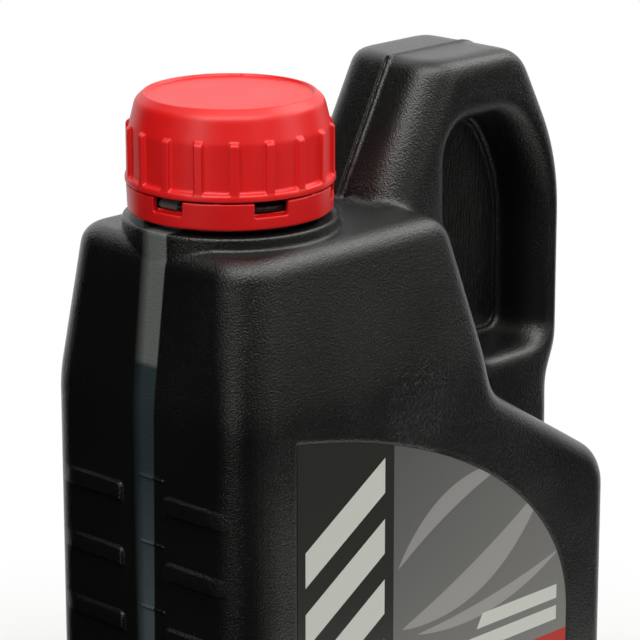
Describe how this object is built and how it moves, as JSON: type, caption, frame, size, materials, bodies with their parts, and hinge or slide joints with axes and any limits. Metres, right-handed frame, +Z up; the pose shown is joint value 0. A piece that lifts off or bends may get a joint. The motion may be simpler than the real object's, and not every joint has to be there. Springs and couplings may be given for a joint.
{
  "type": "motor oil bottle",
  "caption": "Blow-moulded motor oil bottle with an off-centre screw cap, tamper band, webbed grip handle and view stripe.",
  "frame": {"origin": "on the floor, under the centre of the bottle's bounding box", "axes": "+Z up; +X from the neck towards the handle; the front label faces -Y"},
  "size_m": [0.1222, 0.0636, 0.207],
  "materials": {
    "bottle_plastic": "satin black polyethylene, fine moulded grain, with a grey see-through stripe",
    "cap_plastic": "satin red polypropylene",
    "liner_foam": "white foam",
    "label_film": "printed film, satin",
    "oil": "amber oil"
  },
  "bodies": {
    "bottle_body": {"bottle": "bottle_plastic", "oil_fill": "oil", "tamper_band": "cap_plastic", "front_label": "label_film"},
    "liner": {"cap_liner": "liner_foam"},
    "cap": {"screw_cap": "cap_plastic"}
  },
  "joints": [
    {"name": "cap_lift", "type": "slide", "parent": "bottle_body", "child": "liner", "axis": [0, 0, 1], "range_m": [0, 0.0181]},
    {"name": "cap_turn", "type": "hinge", "parent": "liner", "child": "cap", "pos_m": [-0.0331, 0, 0.192], "axis": [0, 0, 1], "range_deg": [0, 1620]}
  ],
  "couplings": [
    {"joint": "cap_lift", "follows": "cap_turn", "m_per_rad": 0.00063662}
  ]
}
